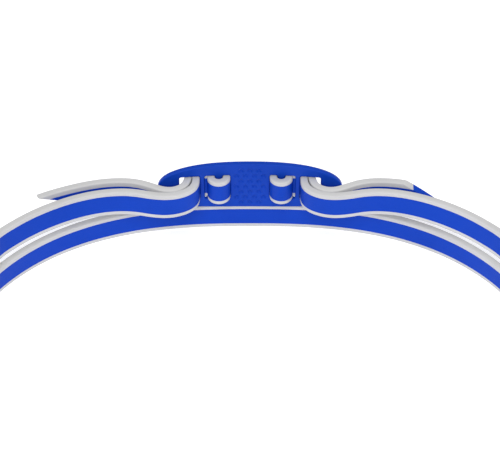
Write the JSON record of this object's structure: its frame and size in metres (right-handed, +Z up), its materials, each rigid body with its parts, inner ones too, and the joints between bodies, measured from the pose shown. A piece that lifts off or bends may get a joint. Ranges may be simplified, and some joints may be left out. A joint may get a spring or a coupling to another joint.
{
  "type": "head strap ring",
  "caption": "Closed ring of two-coloured elastic strap, wound twice, joined at the back by a windowed buckle plate with slanted free ends.",
  "frame": {"origin": "middle of the ring in plan, on the surface that its lower run stands on", "axes": "+Z up, +Y towards the buckle plate at the back of the ring, +X to the right seen from the front"},
  "size_m": [0.156, 0.1599, 0.0222],
  "materials": {
    "strap_blue": "satin extruded elastomer, royal blue",
    "strap_white": "satin extruded elastomer, soft white",
    "buckle": "fine satin injection moulding, royal blue"
  },
  "bodies": {
    "lower_run": {"lower_run_core": "strap_blue", "lower_run_top_edge": "strap_white", "lower_run_bottom_edge": "strap_white"},
    "upper_run": {"buckle_plate": "buckle", "left_run_core": "strap_blue", "left_run_top_edge": "strap_white", "left_run_bottom_edge": "strap_white", "right_run_core": "strap_blue", "right_run_top_edge": "strap_white", "right_run_bottom_edge": "strap_white"},
    "left_tail": {"left_tail_core": "strap_blue", "left_tail_top_edge": "strap_white", "left_tail_bottom_edge": "strap_white"},
    "right_tail": {"right_tail_core": "strap_blue", "right_tail_top_edge": "strap_white", "right_tail_bottom_edge": "strap_white"}
  },
  "joints": [
    {"name": "runs_spread", "type": "hinge", "parent": "lower_run", "child": "upper_run", "pos_m": [0, -0.077, 0.0092], "axis": [1, 0, 0], "range_deg": [0, 25]},
    {"name": "left_tail_flex", "type": "hinge", "parent": "upper_run", "child": "left_tail", "pos_m": [-0.0243, 0.07124, 0.0147], "axis": [0, 0, -1], "range_deg": [0, 25], "stiffness_Nm_per_rad": 0.002},
    {"name": "right_tail_flex", "type": "hinge", "parent": "upper_run", "child": "right_tail", "pos_m": [0.0243, 0.07124, 0.0147], "axis": [0, 0, 1], "range_deg": [0, 25], "stiffness_Nm_per_rad": 0.002}
  ]
}
